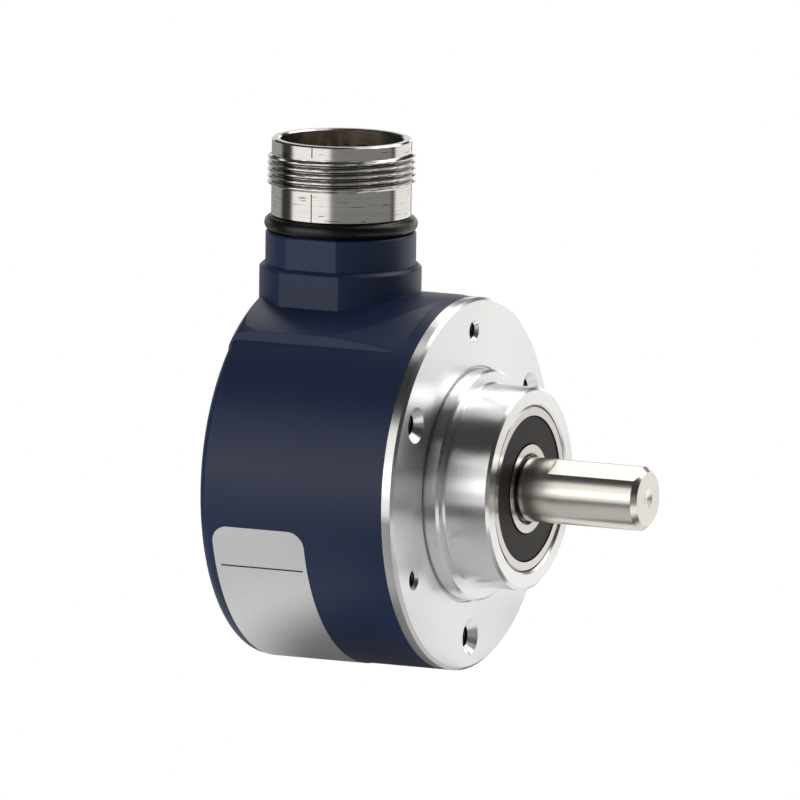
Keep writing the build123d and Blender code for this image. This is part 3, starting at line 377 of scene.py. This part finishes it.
def cover_paint():
    """Satin dark blue powder coat with a very fine orange-peel surface."""
    blue = (0.022, 0.038, 0.105)
    darker_blue = (0.020, 0.035, 0.098)
    lighter_blue = (0.024, 0.041, 0.112)
    made, tree, shader = new_material("cover_paint", blue, roughness=0.38)
    shader.inputs["Specular IOR Level"].default_value = 0.38
    peel = even_noise(tree, scale=900.0, detail=2.0, roughness=0.5)
    patches = even_noise(tree, scale=40.0, detail=3.0, roughness=0.5)
    tint = mix_colours(tree, patches, darker_blue, lighter_blue)
    tree.links.new(tint, shader.inputs["Base Color"])
    add_bump(tree, shader, peel, strength=0.06, edge_radius=0.18 * MM)
    return made


def label_foil():
    """Matt silver foil with a fine lengthwise grain."""
    silver = (0.92, 0.93, 0.95)
    darker_silver = (0.88, 0.89, 0.91)
    lighter_silver = (0.96, 0.97, 0.99)
    made, tree, shader = new_material("label_foil", silver, roughness=0.38, metallic=0.8)
    marks = streak_noise(tree, "X", line_scale=4000.0, turn_scale=30.0)
    grained = mix_colours(tree, marks, darker_silver, lighter_silver)
    tree.links.new(grained, shader.inputs["Base Color"])
    add_bump(tree, shader, marks, strength=0.03, distance=0.01 * MM)
    return made


def nickel_plate():
    """Nickel-plated turned brass, with short dark scratches round its axis."""
    nickel_colour = (0.84, 0.82, 0.79)
    darker_nickel = (0.78, 0.76, 0.73)
    lighter_nickel = (0.90, 0.88, 0.85)
    scratch_colour = (0.16, 0.15, 0.14)
    scratch_low = 0.66
    scratch_high = 0.74
    made, tree, shader = new_material("nickel_plate", nickel_colour, roughness=0.16, metallic=1.0)
    marks = streak_noise(tree, "Z", line_scale=5000.0, turn_scale=0.8)
    scratches = streak_noise(tree, "Z", line_scale=3600.0, turn_scale=3.2, detail=1.0)
    light_marks = smooth_step(tree, marks, MARKS_LOW, MARKS_HIGH)
    plate = mix_colours(tree, light_marks, darker_nickel, lighter_nickel)
    scratched = smooth_step(tree, scratches, scratch_low, scratch_high)
    surface = mix_colours(tree, scratched, plate, scratch_colour)
    # Shade painted darker into the thread grooves.
    tree.links.new(paint_hollow_shade(tree, surface, *THREAD_GROOVE_SHADE), shader.inputs["Base Color"])
    stretch_gloss(tree, shader, "Z", anisotropy=0.3)
    add_bump(tree, shader, marks, strength=0.03)
    return made


def disc_glass():
    """Slightly tinted clear glass, faintly ringed."""
    tint = (0.6, 0.66, 0.68)
    ring_tint = shade(tint, 0.8)
    made, tree, shader = new_material("disc_glass", tint, roughness=0.05)
    shader.inputs["Transmission Weight"].default_value = 0.85
    rings = streak_noise(tree, "X", line_scale=3000.0, turn_scale=0.2)
    tree.links.new(mix_colours(tree, rings, ring_tint, tint), shader.inputs["Base Color"])
    return made


def dress(material, *names):
    """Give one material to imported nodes."""
    for name in names:
        slots = nodes[name].data.materials
        slots.clear()
        slots.append(material)


def both(piece):
    """The names of one bearing piece in the front and the rear bearing."""
    return [f"{place}_bearing_{piece}" for place in ("front", "rear")]


# Turned pieces
# Each turned piece has shade painted into its holes, gaps and grooves.
dress(
    turned_metal("flange_aluminium", (0.94, 0.94, 0.94), 0.28, anisotropy=0.8),
    "flange",
)
dress(
    turned_metal("shaft_steel", (0.88, 0.84, 0.78), 0.26, anisotropy=0.2, painted_shade=NARROW_GAP_SHADE),
    "shaft",
)
dress(
    turned_metal("bearing_steel", (0.72, 0.69, 0.65), 0.2, painted_shade=NARROW_GAP_SHADE),
    *both("outer_ring"),
    *both("inner_ring"),
    "bearing_spacer",
)
dress(
    turned_metal("hub_aluminium", (0.78, 0.78, 0.79), 0.3),
    "code_hub",
    "disc_clamp_ring",
)
nickel = nickel_plate()
dress(nickel, "connector_shell")

# Cover, label and rubber
dress(cover_paint(), "cover")
dress(label_foil(), "label")
# The seals have shade painted darker where they meet the rings.
dress(
    moulded(
        "seal_rubber",
        (0.030, 0.026, 0.023),
        0.5,
        bump=0.05,
        gloss=0.25,
        painted_shade=NARROW_GAP_SHADE,
    ),
    *both("seals"),
)
dress(
    moulded("black_rubber", (0.006, 0.006, 0.006), 0.32, grain=1500.0),
    "connector_o_ring",
    "cover_seal",
)

# Small metal pieces
dress(
    moulded("ball_steel", (0.7, 0.7, 0.7), 0.08, metallic=1.0, bump=0.01),
    *both("balls"),
)
dress(
    moulded("spring_steel", (0.1, 0.1, 0.11), 0.35, metallic=1.0),
    "preload_spring",
    "bore_retaining_ring",
    "shaft_retaining_ring",
    "insulator_ring",
    "hub_set_screws",
)
dress(
    moulded("screw_steel", (0.42, 0.42, 0.43), 0.3, metallic=1.0, bump=0.05),
    "cover_screws",
    "board_screws",
    "emitter_screws",
)
dress(
    moulded("plated_brass", (0.6, 0.58, 0.55), 0.25, metallic=1.0, bump=0.03),
    "board_standoffs",
)
dress(
    moulded("gold_plate", (0.78, 0.52, 0.2), 0.2, metallic=1.0, bump=0.03),
    "contact_pins",
)
dress(
    moulded("tinned_wire", (0.6, 0.6, 0.6), 0.25, metallic=1.0),
    "emitter_leads",
)

# Plastic, glass and the board
dress(disc_glass(), "code_disc", "sensor_mask")
dress(moulded("cage_plastic", (0.5, 0.42, 0.3), 0.5), *both("cage"))
dress(moulded("board_green", (0.006, 0.055, 0.022), 0.3, grain=1200.0), "circuit_board")
dress(
    moulded("black_plastic", (0.012, 0.012, 0.013), 0.45),
    "emitter_bracket",
    "sensor_chip",
    "line_driver",
    "voltage_regulator",
    "connector_insulator",
)
dress(moulded("header_plastic", (0.62, 0.58, 0.48), 0.45), "board_header", "harness_plug")
dress(moulded("ceramic", (0.32, 0.2, 0.1), 0.4), "board_capacitors")
dress(moulded("lens_plastic", (0.2, 0.03, 0.05), 0.12), "emitter")
dress(moulded("wire_insulation", (0.17, 0.17, 0.18), 0.42), "harness_wires")


# Connector shell with its helical thread and the line scribed on its side

def thread_radius(height, angle):
    """Radius of the sleeve's outside at a height and an angle from 0 to one turn."""
    angle = (angle - THREAD_START_ANGLE) % tau
    half_foot = THREAD_FOOT / 2
    flank_width = (THREAD_FOOT - THREAD_CREST) / 2
    rise = 0.0
    for turn in range(THREAD_TURNS + 1):
        along = (turn + angle / tau) * tau
        fade = min(1.0, along / THREAD_FADE, (THREAD_TURNS * tau - along) / THREAD_FADE)
        if fade <= 0.0:
            continue
        middle = THREAD_START_Z + half_foot + (along / tau - 0.5) * THREAD_PITCH
        flank = (half_foot - abs(height - middle)) / flank_width
        rise = max(rise, min(fade, flank) * (THREAD_RADIUS - SLEEVE_RADIUS))
    return SLEEVE_RADIUS + rise


def shell_columns():
    """Angles of the shell's mesh columns, closer together at the scribed line."""
    angles = [index * tau / SHELL_COLUMNS for index in range(SHELL_COLUMNS)]
    kept = [angle for angle in angles if abs(angle - SCRIBE_ANGLE) > 2 * SCRIBE_HALF_ANGLE]
    line = [SCRIBE_ANGLE + share * SCRIBE_HALF_ANGLE for share in SCRIBE_COLUMNS]
    return sorted(kept + line)


def scribe_cut(angle, height):
    """Depth of the scribed line at an angle, on the plain stretches of the sleeve."""
    on_sleeve = SLEEVE_FOOT_Z < height < SCRIBE_SLEEVE_TOP_Z
    on_rim = SCRIBE_RIM_FOOT_Z < height < RIM_Z
    offset = abs(angle - SCRIBE_ANGLE)
    if offset >= SCRIBE_HALF_ANGLE or not (on_sleeve or on_rim):
        return 0.0
    return SCRIBE_DEPTH * (1.0 - offset / SCRIBE_HALF_ANGLE)


def shell_profile():
    """Rows of the shell's section: (height, radius), with no radius on the threaded outside."""
    rows = [
        (SHELL_FOOT_Z, SHELL_LOWER_BORE_RADIUS),
        (SHELL_FOOT_Z, SHELL_SPIGOT_RADIUS),
        (SLEEVE_FOOT_Z, SHELL_SPIGOT_RADIUS),
        (SLEEVE_FOOT_Z, SLEEVE_RADIUS - SLEEVE_EDGE),
        (SLEEVE_FOOT_Z + SLEEVE_EDGE, None),
    ]
    threaded = THREAD_TURNS * THREAD_PITCH + 2 * THREAD_MARGIN
    low = THREAD_START_Z - THREAD_MARGIN
    for index in range(ceil(threaded / THREAD_ROW) + 1):
        rows.append((low + index * THREAD_ROW, None))
    rows += [
        (RIM_Z - RIM_CHAMFER, None),
        (RIM_Z, SLEEVE_RADIUS - RIM_CHAMFER),
        (RIM_Z, SHELL_BORE_RADIUS + RIM_CHAMFER),
        (RIM_Z - RIM_CHAMFER, SHELL_BORE_RADIUS),
        (SHELL_SHOULDER_Z, SHELL_BORE_RADIUS),
        (SHELL_SHOULDER_Z, SHELL_LOWER_BORE_RADIUS),
    ]
    return rows


def make_shell():
    """The shell as one closed mesh whose own origin lies on the connector's axis."""
    columns = shell_columns()
    rows = shell_profile()
    points = []
    for height, radius in rows:
        for angle in columns:
            reach = radius if radius is not None else thread_radius(height, angle)
            reach -= scribe_cut(angle, height)
            points.append((reach * cos(angle), reach * sin(angle), height))
    count = len(columns)
    faces = []
    for row in range(len(rows)):
        start = row * count
        start_above = (row + 1) % len(rows) * count
        for column in range(count):
            after = (column + 1) % count
            faces.append((start + column, start + after, start_above + after, start_above + column))
    mesh = bpy.data.meshes.new("threaded_shell")
    mesh.from_pydata(points, [], faces)
    mesh.validate()
    mesh.shade_smooth()
    mesh.set_sharp_from_angle(angle=SHARP_ANGLE)
    mesh.materials.append(nickel)
    made = add_object("threaded_shell", mesh)
    made.location = (CONNECTOR_X, 0, 0)
    return made


shell = make_shell()
bpy.context.view_layer.update()
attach(shell, "housing")
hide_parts("connector_shell")


# Plain rule on the label

def make_rule(material):
    """Thin printed strip that lies on the label along the shaft's direction."""
    half = RULE_WIDTH / LABEL_RADIUS / 2
    points = []
    for side in (-1, 1):
        turn = RULE_ANGLE + side * half
        for place in (RULE_LOW_X, RULE_HIGH_X):
            for reach in (LABEL_RADIUS - RULE_THICKNESS, LABEL_RADIUS + RULE_THICKNESS):
                points.append((place, reach * sin(turn), reach * cos(turn)))
    faces = [(0, 1, 3, 2), (4, 6, 7, 5), (0, 4, 5, 1), (2, 3, 7, 6), (1, 5, 7, 3), (0, 2, 6, 4)]
    mesh = bpy.data.meshes.new("label_rule")
    mesh.from_pydata(points, [], faces)
    mesh.materials.append(material)
    return add_object("label_rule", mesh)


label_ink = moulded("label_ink", (0.02, 0.02, 0.025), 0.5, bump=0.0, edge_radius=0.0)
strip = make_rule(label_ink)
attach(strip, "housing")


# Studio: panels of light round the object, painted on the sky and on the floor. Only the object
# sees them: the camera sees a plain white room.

def split_place(tree, coordinates):
    """Sockets of a place or a direction: its azimuth from -Y towards +X, and its X, Y and Z."""
    place = node(tree, "ShaderNodeTexCoord")
    split = node(tree, "ShaderNodeSeparateXYZ")
    tree.links.new(place.outputs[coordinates], split.inputs[0])
    parts = split.outputs
    azimuth = math_node(tree, "ARCTAN2", parts["X"], math_node(tree, "MULTIPLY", parts["Y"], -1.0))
    return azimuth, parts


def window(tree, value, middle, half, soft, turns=False):
    """Socket that is 1 within half of the middle value and fades to 0 past it."""
    offset = math_node(tree, "SUBTRACT", value, middle)
    if turns:
        offset = math_node(tree, "WRAP", offset, pi, -pi)
    past = smooth_step(tree, math_node(tree, "ABSOLUTE", offset), half - soft, half + soft)
    return math_node(tree, "SUBTRACT", 1.0, past)


def add_panels(tree, panels, sideways, outwards, unit):
    """Socket with the summed levels of the panels and of the dim room round them."""
    total = ROOM_LEVEL
    for azimuth, half_width, middle, half_height, soft, level in panels:
        across = window(
            tree,
            sideways,
            radians(azimuth),
            radians(half_width),
            SIDE_SOFTNESS,
            turns=True,
        )
        along = window(tree, outwards, middle * unit, half_height * unit, soft * unit)
        shape = math_node(tree, "MULTIPLY", across, along)
        total = math_node(tree, "MULTIPLY_ADD", shape, level, total)
    return total


def light_object_alone(tree, shader_kind, output_kind, strength):
    """End a tree with light of a strength for the object, and plain white for the camera."""
    room = node(tree, shader_kind, Color=(*LIGHT_COLOUR, 1.0))
    tree.links.new(strength, room.inputs["Strength"])
    plain = node(tree, shader_kind, Color=(*BACKGROUND_COLOUR, 1.0))
    path = node(tree, "ShaderNodeLightPath")
    choose = node(tree, "ShaderNodeMixShader")
    tree.links.new(path.outputs["Is Camera Ray"], choose.inputs[0])
    tree.links.new(room.outputs[0], choose.inputs[1])
    tree.links.new(plain.outputs[0], choose.inputs[2])
    output = node(tree, output_kind)
    tree.links.new(choose.outputs[0], output.inputs["Surface"])


def make_floor():
    """Large pale floor that the object just clears, with panels of light on it."""
    half = FLOOR_HALF_SIZE
    height = cad_low.z - FLOOR_GAP
    sides = [(-half, -half), (half, -half), (half, half), (-half, half)]
    mesh = bpy.data.meshes.new("floor")
    mesh.from_pydata([(x, y, height) for x, y in sides], [], [(0, 1, 2, 3)])
    material = bpy.data.materials.new("floor_material")
    tree = new_tree(material)
    azimuth, parts = split_place(tree, "Object")
    squares = [math_node(tree, "MULTIPLY", parts[letter], parts[letter]) for letter in "XY"]
    distance = math_node(tree, "SQRT", math_node(tree, "ADD", *squares))
    light = add_panels(tree, FLOOR_PANELS, azimuth, distance, MM)
    light_object_alone(tree, "ShaderNodeEmission", "ShaderNodeOutputMaterial", light)
    mesh.materials.append(material)
    return add_object("floor", mesh)


def paint_sky():
    """White background for the camera, and panels of light for everything else."""
    world = bpy.data.worlds.new("studio")
    bpy.context.scene.world = world
    tree = new_tree(world)
    azimuth, parts = split_place(tree, "Generated")
    height = math_node(tree, "ARCSINE", parts["Z"])
    light = add_panels(tree, SKY_PANELS, azimuth, height, radians(1))
    light_object_alone(tree, "ShaderNodeBackground", "ShaderNodeOutputWorld", light)


def make_camera():
    """Camera at the photograph's place, turned so that the origin lands on its pixel."""
    back = Vector((
        sin(CAMERA_AZIMUTH) * cos(CAMERA_ELEVATION),
        -cos(CAMERA_AZIMUTH) * cos(CAMERA_ELEVATION),
        sin(CAMERA_ELEVATION),
    ))
    level_right = Vector((cos(CAMERA_AZIMUTH), sin(CAMERA_AZIMUTH), 0.0))
    level_up = back.cross(level_right)
    right = cos(CAMERA_ROLL) * level_right + sin(CAMERA_ROLL) * level_up
    up = back.cross(right)
    place = back * CAMERA_DISTANCE
    pixel = CAMERA_DISTANCE / FOCAL_PIXELS
    aim = (
        right * (IMAGE_SIZE / 2 - ORIGIN_PIXEL[0]) * pixel
        + up * (ORIGIN_PIXEL[1] - IMAGE_SIZE / 2) * pixel
    )
    view_back = (place - aim).normalized()
    view_right = up.cross(view_back).normalized()
    view_up = view_back.cross(view_right)
    data = bpy.data.cameras.new("camera")
    data.sensor_width = SENSOR_WIDTH
    data.lens = FOCAL_PIXELS / IMAGE_SIZE * SENSOR_WIDTH
    data.clip_start = CLIP_NEAR
    data.clip_end = CLIP_FAR
    camera = add_object("camera", data)
    turn = Matrix((view_right, view_up, view_back)).transposed()
    camera.matrix_world = Matrix.Translation(place) @ turn.to_4x4()
    bpy.context.scene.camera = camera


floor = make_floor()
paint_sky()
make_camera()
bpy.context.scene.view_settings.view_transform = "Standard"
bpy.context.view_layer.update()
